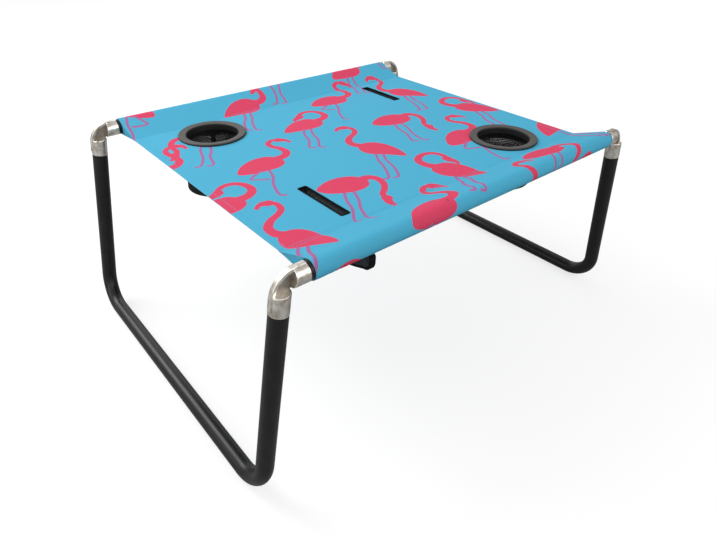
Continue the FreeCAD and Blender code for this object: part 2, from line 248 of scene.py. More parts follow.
def powder_coated_steel():
    """Black polyester powder baked on steel tube: an even gloss with a faint orange peel."""
    material, add, shader = new_material("powder_coated_steel", IOR=1.4)
    place = add("ShaderNodeTexCoord").outputs["Object"]
    tint = add("ShaderNodeTexNoise", {"Scale": 1 / (14 * MM), "Detail": 3, "Vector": place})
    colour = add("ShaderNodeValToRGB", {"Fac": tint})
    feed(shader, {"Base Color": set_ramp(colour, (0.3, "#0D0D0C"), (0.7, "#161615")),
                  "Roughness": add("ShaderNodeMapRange", {"To Min": 0.3, "To Max": 0.4, "Value": tint}),
                  "Normal": relief(add, place, size=1.6, detail=1, strength=0.12, depth=0.1)})
    return material


def plated_zinc_casting():
    """Nickel plate on die-cast zinc: tumbled bright and softly rippled. It has a duller cast skin and painted shade
    on the recessed web, darker where the web is enclosed, and drawn-out streaks that are partly tarnish and partly
    painted reflections.
    """
    material, add, shader = new_material("plated_zinc_casting", Metallic=1.0)
    place = add("ShaderNodeTexCoord").outputs["Object"]
    across = add("ShaderNodeSeparateXYZ", {"Vector": place}).outputs["Y"]
    off_middle = add("ShaderNodeMath", {0: across}, operation="ABSOLUTE")
    near_web = add("ShaderNodeMath", {0: off_middle, 1: half_depth * MM, 2: (web_half + 0.1) * MM},
                   operation="COMPARE")
    # Painted shade: near the elbow's middle plane the web's colour darkens where ambient occlusion finds it enclosed
    open_air = add("ShaderNodeAmbientOcclusion", {"Distance": 12 * MM}, samples=12, only_local=True)
    painted_recess_shade = add("ShaderNodeMapRange", {"From Min": 0.95, "From Max": 0.8, "Value": open_air.outputs["AO"]})
    web = add("ShaderNodeMath", {0: near_web, 1: painted_recess_shade}, operation="MULTIPLY")
    # Cloud times drawn-out streaks: partly tarnish and cast marks, partly painted reflections along the collars
    cloud = add("ShaderNodeTexNoise", {"Scale": 1 / (9 * MM), "Detail": 4, "Vector": place})
    drawn_out = add("ShaderNodeMapping", {"Scale": (0.3, 1.0, 0.3), "Vector": place})
    streak_marks_and_reflections = add("ShaderNodeTexNoise", {"Scale": 1 / (4 * MM), "Detail": 3, "Vector": drawn_out})
    tarnish_and_painted_reflections = add("ShaderNodeMath", {0: cloud, 1: streak_marks_and_reflections}, operation="MULTIPLY")
    shade = add("ShaderNodeMath", {0: web, 1: 0.55, 2: tarnish_and_painted_reflections}, operation="MULTIPLY_ADD")
    colour = add("ShaderNodeValToRGB", {"Fac": shade})
    ripple = relief(add, place, size=6, detail=2, strength=0.35, depth=0.4)
    grain = relief(add, place, size=0.8, detail=2, strength=0.12, depth=0.05, Normal=ripple)
    feed(shader, {"Base Color": set_ramp(colour, (0.16, "#F4F1EB"), (0.3, "#CFC8BC"), (0.44, "#9F9688"),
                                         (0.66, "#A39B91"), (0.95, "#766F66")),
                  "Roughness": add("ShaderNodeMapRange", {"To Min": 0.2, "To Max": 0.58, "Value": shade}),
                  "Normal": grain})
    return material


def moulded_plastic(name, *stops, sheen_height=None):
    """Satin moulded plastic with a fine spark-eroded grain; given a height, its colour is lifted to grey above it, a
    painted sheen on the lit top, and stays dark below.
    """
    material, add, shader = new_material(name, IOR=1.5)
    place = add("ShaderNodeTexCoord").outputs["Object"]
    cloud = shade = add("ShaderNodeTexNoise", {"Scale": 1 / (12 * MM), "Detail": 4, "Vector": place})
    if sheen_height:
        # Painted sheen: above the given height the colour is lifted to grey, where the rim's top catches the light
        height = add("ShaderNodeSeparateXYZ", {"Vector": place}).outputs["Z"]
        painted_sheen = add("ShaderNodeMapRange", {"From Min": sheen_height * MM, "From Max": (sheen_height + 0.7) * MM, "Value": height})
        ragged = add("ShaderNodeMath", {0: cloud, 1: 0.25, 2: -0.12}, operation="MULTIPLY_ADD")
        shade = add("ShaderNodeMath", {0: painted_sheen, 1: ragged}, operation="ADD")
    colour = add("ShaderNodeValToRGB", {"Fac": shade})
    feed(shader, {"Base Color": set_ramp(colour, *stops),
                  "Roughness": add("ShaderNodeMapRange", {"To Min": 0.5, "To Max": 0.62, "Value": cloud}),
                  "Normal": relief(add, place, size=0.6, detail=1, strength=0.15, depth=0.06)})
    return material


def woven_cloth(name, thread, gloss):
    """Plain-weave polyester, its threads over and under, read along the cloth's own cut in metres.

    Gives the material, its node adder, its shader and the weave's height, so that colour can be added.
    """
    material, add, shader = new_material(name, Roughness=0.8, Specular_IOR_Level=gloss)
    cut = add("ShaderNodeUVMap", uv_map="UVMap")
    node_period = math.tau / 20  # of the wave node, at a scale of 1
    wave_scale = node_period / (2 * thread * MM)
    warp, weft = (add("ShaderNodeTexWave", {"Scale": wave_scale, "Vector": cut}, bands_direction=way).outputs["Fac"]
                  for way in "XY")
    over = add("ShaderNodeMath", {0: warp, 1: weft}, operation="SUBTRACT")
    height = add("ShaderNodeMath", {0: over}, operation="ABSOLUTE")
    feed(shader, {"Normal": add("ShaderNodeBump", {"Strength": 0.25, "Distance": 0.15 * MM, "Height": height})})
    return material, add, shader, height


def printed_polyester():
    """Coated polyester with a flat print; its threads are drawn 0.8 mm wide, coarse enough to show."""
    material, add, shader, weave = woven_cloth("printed_polyester", 0.8, 0.15)
    ink = add("ShaderNodeAttribute", attribute_name="ink").outputs["Fac"]
    inks = set_ramp(add("ShaderNodeValToRGB", {"Fac": ink}), (0.0, "#4DACCD"), (0.2, "#D84464"), (0.4, "#A5689C"),
                    (0.6, "#66B5D7"), (0.8, "#93A0C6"), steps=True)
    # Painted shade: the cloth's colour is a little darker where the weave lies low, between threads
    shade = add("ShaderNodeMapRange", {"To Min": 0.94, "To Max": 1.04, "Value": weave})
    colour = add("ShaderNodeMix", {0: 1.0, 6: inks, 7: shade}, data_type="RGBA", blend_type="MULTIPLY")
    feed(shader, {"Base Color": colour.outputs[2]})
    return material


def black_tape():
    """Black woven polyester tape, its ribs 1.1 mm apart."""
    material, add, shader, weave = woven_cloth("black_tape", 1.1, 0.12)
    # Painted shade: the tape's colour is darker where the weave lies low, between the ribs
    ramp = add("ShaderNodeValToRGB", {"Fac": weave})
    feed(shader, {"Base Color": set_ramp(ramp, (0.0, "#0A0A0B"), (1.0, "#151517"))})
    return material


def polyester_thread(name, dark, pale, fuzz):
    """Spun polyester, slightly fuzzy, its colour varied from strand to strand."""
    material, add, shader = new_material(name, Roughness=0.7, Specular_IOR_Level=0.12)
    place = add("ShaderNodeTexCoord").outputs["Object"]
    strand = add("ShaderNodeTexNoise", {"Scale": 1 / (3 * MM), "Detail": 2, "Vector": place})
    colour = add("ShaderNodeValToRGB", {"Fac": strand})
    feed(shader, {"Base Color": set_ramp(colour, (0.3, dark), (0.7, pale)),
                  "Normal": relief(add, place, size=fuzz, detail=2, strength=0.4, depth=0.1)})
    return material


steel = powder_coated_steel()
casting = plated_zinc_casting()
# The rim is black plastic with a painted sheen on its top
ring_plastic = moulded_plastic("satin_plastic_painted_sheen", (0.1, "#0A0A0A"), (0.85, "#3E3B37"), sheen_height=cloth_top + 2.0)
lock_plastic = moulded_plastic("satin_plastic_black", (0.3, "#141414"), (0.7, "#1E1E1E"))
print_cloth = printed_polyester()
tape = black_tape()
bag_knit = polyester_thread("knitted_polyester_mesh", "#121315", "#2A2C2F", 0.6)
# The pouch's copy of the black mesh is lighter: painted light, for the lit inside of the slots
pouch_knit_painted_light = polyester_thread("knitted_polyester_mesh_painted_light", "#24282B", "#42484E", 0.6)
blue_thread = polyester_thread("blue_sewing_thread", "#469DC6", "#55ABD0", 0.4)
black_thread = polyester_thread("black_sewing_thread", "#101011", "#222224", 0.4)

for start, material in (("leg", steel), ("crossbar", steel), ("elbow", casting),
                        ("cup_rim", ring_plastic), ("cup_lock_ring", lock_plastic)):
    for name, piece in nodes.items():
        if name.startswith(start):
            piece.data.materials.clear()
            piece.data.materials.append(material)


# Node trees: holes in mesh cloth, and stitches along seams

def new_tree(name, **inputs):
    """Tree that makes a piece from a base mesh; gives it, its node adder and its input sockets."""
    tree = bpy.data.node_groups.new(name, "GeometryNodeTree")
    for socket, kind in {"base": "Geometry", **inputs, "finish": "Material"}.items():
        tree.interface.new_socket(socket, in_out="INPUT", socket_type="NodeSocket" + kind)
    tree.interface.new_socket("made", in_out="OUTPUT", socket_type="NodeSocketGeometry")
    add = node_adder(tree)
    return tree, add, add("NodeGroupInput").outputs


def end_tree(add, made, finish):
    """Last nodes of a tree: a plain mesh with its finish."""
    real = add("GeometryNodeRealizeInstances", {"Geometry": made})
    add("NodeGroupOutput", {"made": add("GeometryNodeSetMaterial", {"Geometry": real, "Material": finish})})


def perforation_tree():
    """A hole in every cell of a surface, which then gets a thickness."""
    tree, add, given = new_tree("holes_in_cells", hole_share="Float", thickness="Float")
    weld = 0.002 * MM
    cells = add("GeometryNodeExtrudeMesh", {"Offset Scale": 0.0, "Individual": True, "Mesh": given["base"]})
    top = cells.outputs["Top"]
    drawn_in = add("GeometryNodeScaleElements", {"Geometry": cells, "Selection": top, "Scale": given["hole_share"]})
    holes = add("GeometryNodeDeleteGeometry", {"Geometry": drawn_in, "Selection": top}, domain="FACE")
    raised = add("GeometryNodeExtrudeMesh", {"Individual": False, "Mesh": holes, "Offset Scale": given["thickness"]})
    both = add("GeometryNodeJoinGeometry", {"Geometry": raised})
    feed(both, {"Geometry": add("GeometryNodeFlipFaces", {"Mesh": holes})})
    end_tree(add, add("GeometryNodeMergeByDistance", {"Distance": weld, "Geometry": both}), given["finish"])
    return tree


def stitch_tree():
    """Short stitches set end to end along every line."""
    tree, add, given = new_tree("stitches_on_lines", pitch="Float", stitch_size="Vector")
    line = add("GeometryNodeMeshToCurve", {"Mesh": given["base"]})
    points = add("GeometryNodeResampleCurve", {"Curve": line, "Length": given["pitch"]}, mode="LENGTH")
    stitch = add("GeometryNodeMeshIcoSphere", {"Radius": 0.5, "Subdivisions": 2})
    turn = add("FunctionNodeAlignRotationToVector", {"Vector": add("GeometryNodeInputTangent")}, axis="X")
    placed = add("GeometryNodeInstanceOnPoints", {"Points": points, "Instance": stitch, "Rotation": turn,
                                                  "Scale": given["stitch_size"]})
    end_tree(add, placed, given["finish"])
    return tree


holes_in_cells = perforation_tree()
stitches_on_lines = stitch_tree()


def grow(name, base, tree, **inputs):
    """Piece that a node tree makes from base points, edges and faces, turned into a plain mesh."""
    points, edges, faces = base
    start = bpy.data.meshes.new(name + "_base")
    start.from_pydata([(x * MM, y * MM, z * MM) for x, y, z in points], edges, faces)
    piece = bpy.data.objects.new(name, start)
    scene.collection.objects.link(piece)
    modifier = piece.modifiers.new("grow", "NODES")
    modifier.node_group = tree
    for item in tree.interface.items_tree:
        if item.name in inputs:
            modifier[item.identifier] = inputs[item.name]
    grown = bpy.data.meshes.new_from_object(piece.evaluated_get(bpy.context.evaluated_depsgraph_get()))
    piece.modifiers.remove(modifier)
    grown.name = name
    grown.shade_smooth()
    grown.set_sharp_from_angle(angle=math.radians(smooth_below))
    piece.data = grown
    bpy.data.meshes.remove(start)
    return piece


def sew(name, lines, thread, pitch, size):
    """Stitches along lines of points, closed where a line ends at its start; size is length, width and height."""
    points, edges = [], []
    for line in lines:
        first = len(points)
        kept = line[:-1] if line[0] == line[-1] else line
        points += kept
        edges += [(first + i, first + (i + 1) % len(kept)) for i in range(len(line) - 1)]
    return grow(name, (points, edges, []), stitches_on_lines, pitch=pitch * MM,
                stitch_size=[value * MM for value in size], finish=thread)


def mesh_cells(width, height, pitch, wraps=False):
    """Staggered six-sided cells of mesh cloth over a flat strip, as shared points and faces."""
    columns = round(width / pitch)
    step = width / columns
    corner = step / math.sqrt(3)
    rows = int((height - 2 * corner) / (1.5 * corner)) + 1
    margin = (height - 2 * corner - (rows - 1) * 1.5 * corner) / 2
    numbers, points, faces = {}, [], []
    for row in range(rows):
        for column in range(columns):
            cell = ((column + 0.5 * (row % 2)) * step, margin + corner * (1 + 1.5 * row))
            face = []
            for turn in range(6):
                across, up = polar(cell, corner, math.radians(30 + 60 * turn))
                half_steps = round(2 * across / step)
                key = (half_steps % (2 * columns) if wraps else half_steps, round(2 * (up - margin) / corner))
                if key not in numbers:
                    numbers[key] = len(points)
                    points.append((across, up))
                face.append(numbers[key])
            faces.append(face)
    return points, faces


def mesh_cloth(name, points, faces, hole_share, knit):
    """Mesh cloth with a hole in each cell."""
    return grow(name, (points, [], faces), holes_in_cells, hole_share=hole_share, thickness=knit_thickness * MM,
                finish=knit)


# The sling: its cut, and the way it lies on the crossbars

def bar_angle(point):
    """Direction of a (y, z) point as seen from the rear crossbar's axis."""
    return math.atan2(point[1] - crossbar_height, point[0] - half_depth)


def touch_point(point, radius, side):
    """Where a straight ply from a point meets a circle round the crossbar, above (1) or below (-1)."""
    return polar(bar_axis, radius, bar_angle(point) - side * math.acos(radius / math.dist(point, bar_axis)))


over_stitch, under_stitch = (stitch_line, cloth_top), (stitch_line, cloth_bottom - cloth_thickness)
upper_touch = touch_point(over_stitch, sleeve_radius, 1)
lower_touch = touch_point(under_stitch, sleeve_radius, -1)
upper_ply, lower_ply = math.dist(over_stitch, upper_touch), math.dist(under_stitch, lower_touch)
wrap_start, wrap_end = bar_angle(upper_touch), bar_angle(lower_touch)
wrap_length = (wrap_start - wrap_end) % math.tau * sleeve_radius
cut_spans = [stitch_line, upper_ply, wrap_length, lower_ply, seam_allowance]
cut_half_length = sum(cut_spans)


def lie(along):
    """Place (y, z) and outward direction of the cloth's outer face, a distance along its cut from the middle."""
    sign = 1 if along >= 0 else -1
    rest = abs(along)
    if rest <= stitch_line:
        place, out = (rest, cloth_top), (0, 1)
    elif rest <= stitch_line + upper_ply:
        place = between(over_stitch, upper_touch, (rest - stitch_line) / upper_ply)
        out = polar((0, 0), 1, wrap_start)
    elif rest <= stitch_line + upper_ply + wrap_length:
        angle = wrap_start - (rest - stitch_line - upper_ply) / sleeve_radius
        place, out = polar(bar_axis, sleeve_radius, angle), polar((0, 0), 1, angle)
    elif rest <= cut_half_length - seam_allowance:
        place = between(under_stitch, lower_touch, (cut_half_length - seam_allowance - rest) / lower_ply)
        out = polar((0, 0), 1, wrap_end)
    else:
        place = (under_stitch[0] - (rest - cut_half_length + seam_allowance), under_stitch[1])
        out = (0, -1)
    return sign * place[0], place[1], sign * out[0], out[1]


def on_cloth(x, along, lift=0.05):
    """Point a little above the cloth's outer face."""
    y, z, out_y, out_z = lie(along)
    return (x, y + out_y * lift, z + out_z * lift)


def slot_outline(centre, grow_by):
    """Rounded outline of a slot, grown or shrunk all round."""
    corner, steps = slot_corner + grow_by, 5
    half_x, half_y = slot_width / 2 + grow_by - corner, slot_length / 2 + grow_by - corner
    made = []
    for quarter, (sx, sy) in enumerate(((1, 1), (-1, 1), (-1, -1), (1, -1))):
        bend = (centre[0] + sx * half_x, centre[1] + sy * half_y)
        made += [polar(bend, corner, math.pi / 2 * (quarter + step / steps)) for step in range(steps + 1)]
    return made


# The print: four wading birds drawn from plain curves, feet at 0 and facing right

PLAIN, CORAL, MAUVE, UNDERSIDE, SHOWING_THROUGH = 0.1, 0.3, 0.5, 0.7, 0.9
bird_poses = [
    {"body": [(-33, 68), (-30, 90), (-19, 112), (-2, 126), (15, 126), (26, 113), (25, 97), (14, 85), (-4, 79),
              (-18, 73)],
     "neck": [(14, 117), (28, 123), (34, 137), (29, 153), (19, 166), (14, 179), (18, 192), (27, 196)],
     "bill": [(32, 202), (40, 197), (45, 186), (41, 182), (37, 189), (30, 190)],
     "legs": [[(8, 85), (11, 60), (10, 36), (14, 5), (23, 2)],
              [(-2, 82), (0, 58), (-3, 34), (0, 6), (9, 3)]]},
    {"body": [(-41, 92), (-28, 110), (-8, 121), (13, 121), (27, 110), (29, 95), (19, 83), (2, 77), (-17, 77),
              (-32, 81)],
     "neck": [(20, 108), (32, 114), (43, 107), (47, 92), (44, 77), (38, 64), (40, 52)],
     "bill": [(35, 49), (35, 40), (43, 30), (47, 33), (45, 42), (45, 51)],
     "legs": [[(4, 78), (5, 56), (2, 33), (5, 5), (14, 2)],
              [(-8, 78), (-10, 56), (-8, 33), (-12, 6), (-3, 3)]]},
    {"body": [(-38, 75), (-32, 99), (-15, 118), (6, 125), (23, 116), (29, 100), (20, 86), (2, 78), (-19, 72)],
     "neck": [(18, 114), (31, 121), (37, 135), (31, 150), (20, 160), (16, 172), (23, 183), (33, 183)],
     "bill": [(37, 188), (46, 182), (51, 171), (47, 169), (43, 175), (35, 177)],
     "legs": [[(4, 80), (6, 58), (3, 34), (6, 5), (15, 2)],
              [(-6, 79), (-16, 68), (-23, 57), (-12, 53), (1, 52)]]},
    {"body": [(-36, 70), (-30, 94), (-14, 115), (6, 124), (23, 117), (30, 102), (22, 87), (6, 78), (-15, 72)],
     "neck": [(20, 113), (33, 122), (39, 137), (32, 152), (19, 159), (6, 156), (-2, 146), (-3, 137)],
     "bill": [(-8, 137), (-15, 129), (-16, 118), (-12, 117), (-8, 123), (1, 129)],
     "legs": [[(6, 80), (5, 56), (9, 33), (6, 5), (15, 2)],
              [(-5, 79), (-8, 56), (-5, 33), (-9, 6), (0, 3)]]},
]


def stroke(points, widths, ink):
    """A line drawn with a changing width, as short four-sided pieces of one ink."""
    sides = []
    for (x, y), left, width in zip(points, left_of(points), widths):
        across = (left[0] * width / 2, left[1] * width / 2)
        sides.append(((x + across[0], y + across[1]), (x - across[0], y - across[1])))
    made = []
    for a, b in zip(sides, sides[1:]):
        x, y = ((a[0][i] + a[1][i] + b[0][i] + b[1][i]) / 4 for i in (0, 1))
        made.append((sorted([*a, *b], key=lambda p: math.atan2(p[1] - y, p[0] - x)), ink))
    return made


def bird_outlines(pose):
    """Closed outlines of one bird, each with its ink."""
    head_radius, leg_width, throat_width, chest_flare = 7.4, 4.2, 8.2, 8.0
    neck = smooth_line(pose["neck"], 5)
    made = [(smooth_line(pose["body"], 5, True), CORAL), (circle(neck[-1], head_radius, 16), CORAL),
            (smooth_line(pose["bill"], 3, True), CORAL)]
    made += stroke(neck, [throat_width + chest_flare * (1 - i / (len(neck) - 1)) ** 2.5 for i in range(len(neck))],
                   CORAL)
    for leg in pose["legs"]:
        line = smooth_line(leg, 4)
        made += stroke(line, [leg_width] * len(line), MAUVE)
    return made


def print_outlines():
    """Every outline of the print on the cloth's cut: a half-drop repeat with a little play, leaning across it."""
    play = random.Random(11)
    column_step, row_step, first_foot, lean = 79.0, 228.0, -150.0, math.radians(21)
    turn_play, column_play, row_play = 8, 7, 12
    made = []
    for column in range(-6, 7):
        for row in range(-3, 4):
            pose = bird_poses[(column + 2 * row) % len(bird_poses)]
            facing = -1 if (column + row) % 3 == 0 else 1
            turn = math.radians(play.uniform(-turn_play, turn_play)) - lean
            foot = (column * column_step + play.uniform(-column_play, column_play),
                    (row + column % 2 / 2) * row_step + first_foot + play.uniform(-row_play, row_play))
            across = foot[0] * math.cos(lean) + foot[1] * math.sin(lean)
            along = foot[1] * math.cos(lean) - foot[0] * math.sin(lean)
            if abs(across) > 2 * cloth_half_width or abs(along) > 2 * cut_half_length:
                continue
            for outline, ink in bird_outlines(pose):
                made.append(([(across + facing * x * math.cos(turn) - y * math.sin(turn),
                               along + facing * x * math.sin(turn) + y * math.cos(turn)) for x, y in outline], ink))
    return made


def cut_rows():
    """Places of points along the cut: close round the crossbars, wider where the cloth is flat."""
    half, start = [], 0.0
    for length, step in zip(cut_spans, (flat_step, flat_step, round_step, flat_step, seam_step)):
        half += even_steps(start, start + length, step)
        start += length
    return sorted({sign * round(value, 6) for value in half for sign in (-1, 1)})


def set_ink(piece, inks):
    """Gives each face of a piece of the cloth its ink."""
    piece.data.attributes.new("ink", "FLOAT", "FACE").data.foreach_set("value", inks)
    return piece


def printed_sling():
    """The cloth as one closed sheet, cut out flat with its print and laid over the crossbars."""
    points, faces, inks = [], [], []

    def add_loop(loop, ink):
        turned = sum(a[0] * b[1] - b[0] * a[1] for a, b in zip(loop, loop[1:] + loop[:1]))
        faces.append(list(range(len(points), len(points) + len(loop))))
        points.extend(Vector(p) for p in (loop if turned > 0 else loop[::-1]))
        inks.append(ink)

    columns = even_steps(-cloth_half_width, cloth_half_width, flat_step)
    rows = cut_rows()
    edge = [(x, rows[0]) for x in columns] + [(columns[-1], y) for y in rows[1:]]
    edge += [(x, rows[-1]) for x in columns[-2::-1]] + [(columns[0], y) for y in rows[-2:0:-1]]
    add_loop(edge, PLAIN)
    for centre in cup_centres.values():
        add_loop(circle(centre, cup_hole_radius, round_segments), "hole")
    for centre in slot_centres.values():
        add_loop(slot_outline(centre, -slot_cut_inset), "hole")
    for loop, ink in print_outlines():
        add_loop(loop, ink)
    points += [Vector((x, y)) for x in columns[1:-1] for y in rows[1:-1]]
    flat, _, triangles, _, _, sources = delaunay_2d_cdt(points, [], faces, 0, 1e-4)

    kept, ink_of = [], []
    for triangle, source in zip(triangles, sources):
        found = [inks[i] for i in source]
        if PLAIN in found and "hole" not in found:
            kept.append(list(triangle))
            ink_of.append(max(found))
    used = sorted({i for triangle in kept for i in triangle})
    renumber = {old: new for new, old in enumerate(used)}
    kept = [[renumber[i] for i in triangle] for triangle in kept]
    flat = [flat[i] for i in used]

    outer, inner = ([on_cloth(x, along, lift) for x, along in flat] for lift in (0.0, -cloth_thickness))
    count = len(flat)
    under = [[i + count for i in reversed(triangle)] for triangle in kept]
    sides = {(a, b) for triangle in kept for a, b in zip(triangle, triangle[1:] + triangle[:1])}
    rim = [[b, a, a + count, b + count] for a, b in sorted(sides) if (b, a) not in sides]
    uvs = [(x * MM, along * MM) for x, along in flat] * 2
    sling = new_piece("sling", outer + inner, kept + under + rim, print_cloth, uvs)
    back = [SHOWING_THROUGH if ink == CORAL else UNDERSIDE for ink in ink_of]
    return set_ink(sling, ink_of + back + [UNDERSIDE] * len(rim))


def sling_hem(side):
    """Folded hem under a free edge of the cloth, between the sleeve seams, its inner edge a little wavy."""
    width, thickness, gap, round_edge, end_gap, waviness = 12.0, 0.8, 0.04, 0.3, 1.0, 0.25
    outer, inner = cloth_half_width - round_edge, cloth_half_width - width
    top, low = cloth_bottom - gap, cloth_bottom - gap - thickness
    reach = stitch_line - seam_allowance - end_gap
    play = random.Random(3)
    rings, uvs = [], []
    for y in even_steps(-reach, reach, 6.0):
        wavy = inner + play.uniform(-waviness, waviness)
        section = [(wavy, top), (outer - round_edge, top), (outer, (top + low) / 2), (outer - round_edge, low),
                   (wavy, low)]
        rings.append([(side * x, y, z) for x, z in section])
        uvs += [(x * MM, y * MM) for x, _ in section]
    hem = skin("sling_hem_" + ("left" if side < 0 else "right"), rings, print_cloth, uvs, flip=side < 0)
    return set_ink(hem, [UNDERSIDE] * len(hem.data.polygons))


def sleeve_end(side, end):
    """Small gore that closes a sleeve's end between its plies, beside the crossbar."""
    inset, bar_gap, seam_gap, steps = 0.1, 0.1, 1.5, 8
    ply, bar = sleeve_radius - cloth_thickness - inset, sleeve_radius + bar_gap
    apex = (stitch_line + seam_gap, cloth_bottom)
    angles = []
    for painted_sheen in (1, -1):
        touch = touch_point(apex, ply, painted_sheen)
        share = math.sqrt(bar ** 2 - ply ** 2) / math.dist(apex, touch)
        angles.append(bar_angle(between(touch, apex, share)) % math.tau)
    turns = [angles[0] + (angles[1] - angles[0]) * step / steps for step in range(steps + 1)]
    outline = [apex] + [polar(bar_axis, bar, turn) for turn in turns]
    rings = [[(side * (cloth_half_width - depth), end * y, z) for y, z in outline]
             for depth in (0.0, cloth_thickness)]
    uvs = [(y * MM, z * MM) for y, z in outline] * 2
    name = "sleeve_end_%s_%s" % ("front" if end < 0 else "rear", "left" if side < 0 else "right")
    gore = skin(name, rings, print_cloth, uvs, flip=side * end < 0)
    return set_ink(gore, [PLAIN] * len(gore.data.polygons))


sling = ride(printed_sling(), "sling_fabric", "sling_top")
sewn_on = [ride(sling_hem(side), "sling_fabric") for side in (-1, 1)]
sewn_on += [ride(sleeve_end(side, end), "sling_fabric") for side in (-1, 1) for end in (-1, 1)]
seam_insets, edge_gap, hem_inset, hem_gap, line_step = (-1.0, 3.6), 1, 9, 8, 6
xs = even_steps(-cloth_half_width + edge_gap, cloth_half_width - edge_gap, line_step)
ys = even_steps(-stitch_line + hem_gap, stitch_line - hem_gap, line_step)
seam_lines = [[on_cloth(x, end * (stitch_line - inset)) for x in xs] for end in (-1, 1) for inset in seam_insets]
seam_lines += [[on_cloth(side * (cloth_half_width - hem_inset), y) for y in ys] for side in (-1, 1)]
stitches = sew("sling_stitches", seam_lines, blue_thread, pitch=3.6, size=(2.9, 0.55, 0.4))
sewn_on.append(ride(stitches, "sling_fabric"))


# Cup holders

def turned_tape(name, centre, inner, outer, low, high, rounding=0.2, start=0.0, sweep=math.tau,
                segments=round_segments):
    """Flat tape turned round an upright axis, the corners of its outer face softened."""
    section = [(inner, low), (outer - rounding, low), (outer, low + 2 * rounding), (outer, high - 2 * rounding),
               (outer - rounding, high), (inner, high)]
    whole = sweep >= math.tau
    rings, uvs = [], []
    for station in range(segments if whole else segments + 1):
        angle = start + sweep * station / segments
        rings.append([polar(centre, radius, angle, height) for radius, height in section])
        uvs += [(radius * (angle - start) * MM, height * MM) for radius, height in section]
    return skin(name, rings, tape, uvs, closed=whole, flip=True, crease=50)


def ring_line(centre, radius, height):
    """Closed ring of points round an upright axis, for stitches."""
    ring = [(x, y, height) for x, y in circle(centre, radius, round_segments)]
    return ring + ring[:1]


def bag_wall(side, low, high):
    """Mesh wall of a cup bag: it hangs from its hem, drawn in where no tape holds it.

    The right bag is pushed up, so that its wall lies in shallow level folds.
    """
    centre, held_at, hold_spread = cup_centres[side], math.radians(tape_angles[side]), 0.12
    droop, folds, fold_depth = 2.4, 4, 1.5 if side == "right" else 0.0
    inside = bag_radius - bag_cloth + 0.15
    cells, faces = mesh_cells(math.tau * bag_radius, high - low, bag_pitch, wraps=True)
    points = []
    for across, up in cells:
        angle, share = across / bag_radius, up / (high - low)
        free = 1 - math.exp(-((angle - held_at + math.pi) % math.tau - math.pi) ** 2 / hold_spread)
        slack = math.sin(math.pi * share)
        drawn_in = droop * slack * (0.8 + 0.2 * math.cos(3 * angle))
        drawn_in += fold_depth * (1 - math.cos(math.tau * folds * share + 0.5 * math.sin(2 * angle))) / 2 * slack
        points.append(polar(centre, inside - drawn_in * free, angle, low + up))
    return mesh_cloth("bag_wall_" + side, points, faces, bag_hole, bag_knit)


def bag_floor(side, height):
    """Round mesh floor of a cup bag, which hangs a little lower in the middle."""
    centre, reach, sag = cup_centres[side], bag_radius - 1.0, 3.0
    cells, faces = mesh_cells(2 * reach, 2 * reach, bag_pitch)
    flat = [(x - reach, y - reach) for x, y in cells]
    kept = [face for face in faces if all(math.hypot(*flat[i]) < reach for i in face)]
    points = [(centre[0] + x, centre[1] + y, height - sag * max(0.0, 1 - (x * x + y * y) / reach ** 2))
              for x, y in flat]
    return mesh_cloth("bag_floor_" + side, points, kept, bag_hole, bag_knit)


for side, centre in cup_centres.items():
    base_low = box("cup_bag_base_" + side)[0][2]
    band_low, band_top = (corner[2] for corner in box("cup_bag_band_" + side))
    hem_low, hem_top = cloth_bottom - 0.85, cloth_bottom - 0.05
    piping_low, piping_top = base_low - 0.4, base_low + 1.6
    tape_low, tape_top = base_low + 1.7, band_low - 0.1
    band_inner = bag_radius + band_gap
    band_outer, tape_outer = band_inner + band_thickness, band_inner + tape_thickness
    sweep, held_at = tape_width / tape_outer, math.radians(tape_angles[side])
    wall = ride(bag_wall(side, base_low + 0.6, cloth_bottom - 1.0), "black_mesh", "cup_bag_wall_" + side)
    bottom = ride(bag_floor(side, base_low + 0.1), "black_mesh", "cup_bag_base_" + side)
    hem = turned_tape("bag_hem_" + side, centre, cup_hole_radius + 0.1, bag_radius, hem_low, hem_top, rounding=0.15)
    piping = turned_tape("bag_piping_" + side, centre, bag_radius - 2.6, bag_radius + 0.05, piping_low, piping_top,
                         rounding=0.35)
    band = turned_tape("bag_band_" + side, centre, band_inner, band_outer, band_low, band_top)
    upright = turned_tape("bag_tape_" + side, centre, band_inner, tape_outer, tape_low, tape_top,
                          start=held_at - sweep / 2, sweep=sweep, segments=8)
    band_inset, tape_share, end_gap, line_step = 2.5, 0.32, 1.5, 4
    rows = [ring_line(centre, band_outer, height) for height in (band_top - band_inset, band_low + band_inset)]
    heights = even_steps(tape_low + end_gap, tape_top - end_gap, line_step)
    rows += [[polar(centre, tape_outer, held_at + sweep * share, height) for height in heights]
             for share in (-tape_share, tape_share)]
    stitches = sew("bag_stitches_" + side, rows, black_thread, pitch=3.2, size=(2.5, 0.6, 0.5))
    ride(hem, "black_tape")
    ride(piping, "black_tape")
    ride(band, "black_tape", "cup_bag_band_" + side)
    ride(upright, "black_tape", "cup_bag_tape_" + side)
    ride(stitches, "black_tape")


# Slots and their pouches

